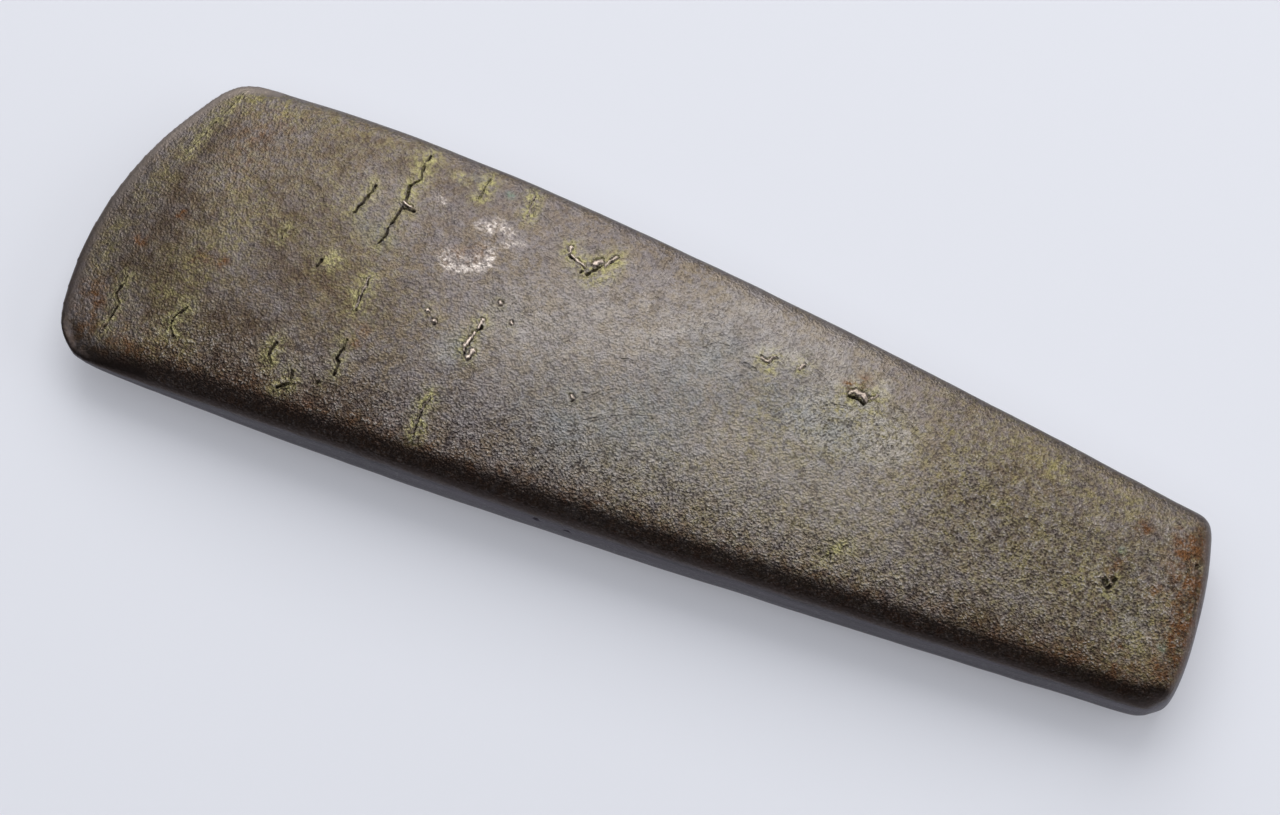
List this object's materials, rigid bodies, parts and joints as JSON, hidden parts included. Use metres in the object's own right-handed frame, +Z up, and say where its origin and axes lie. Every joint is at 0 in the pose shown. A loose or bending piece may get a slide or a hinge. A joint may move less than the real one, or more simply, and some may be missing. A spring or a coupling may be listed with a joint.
{
  "type": "flat axe head",
  "caption": "Flat copper axe head: a long tapering wedge with a bowed cutting edge, domed faces, rolled arrises and a blunt butt.",
  "frame": {"origin": "on the surface that the head lies on, under the middle of its bounding box", "axes": "+X along the head from the cutting edge to the butt, +Y across it to the side that bows more, +Z up out of the upper face"},
  "size_m": [0.1312, 0.0382, 0.0119],
  "materials": {
    "copper": "ancient copper under a dull brown-grey patina with green and rust-brown specks"
  },
  "bodies": {
    "root": {"axe_head": "copper"}
  },
  "joints": []
}
